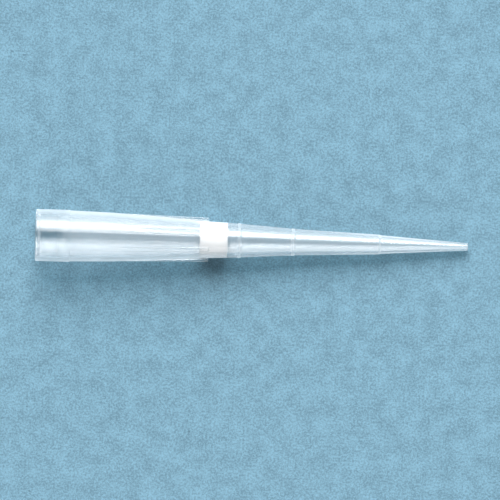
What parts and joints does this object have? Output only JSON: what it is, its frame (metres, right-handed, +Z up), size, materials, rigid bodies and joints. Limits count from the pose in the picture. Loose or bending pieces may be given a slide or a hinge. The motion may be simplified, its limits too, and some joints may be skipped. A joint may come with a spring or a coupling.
{
  "type": "filter pipette tip",
  "caption": "Clear tapered pipette tip with a ribbed collar end, raised volume rings, a fine point and a porous filter plug in its bore.",
  "frame": {"origin": "on the bench under the middle of the lying tip: the centre of the bottom of its box", "axes": "+Z up from the bench; +X along the tip from the open collar to the point, the tip's own axis lying 2.75 degrees below +X because it rests on its shell and rib ends"},
  "size_m": [0.0552, 0.0066, 0.0069],
  "materials": {
    "tip_body": "clear, slightly milky polypropylene as moulded, glossy inside and out",
    "filter": "white sintered porous polyethylene, fine grain, no gloss"
  },
  "bodies": {
    "root": {"tip_body": "tip_body", "filter": "filter"}
  },
  "joints": []
}
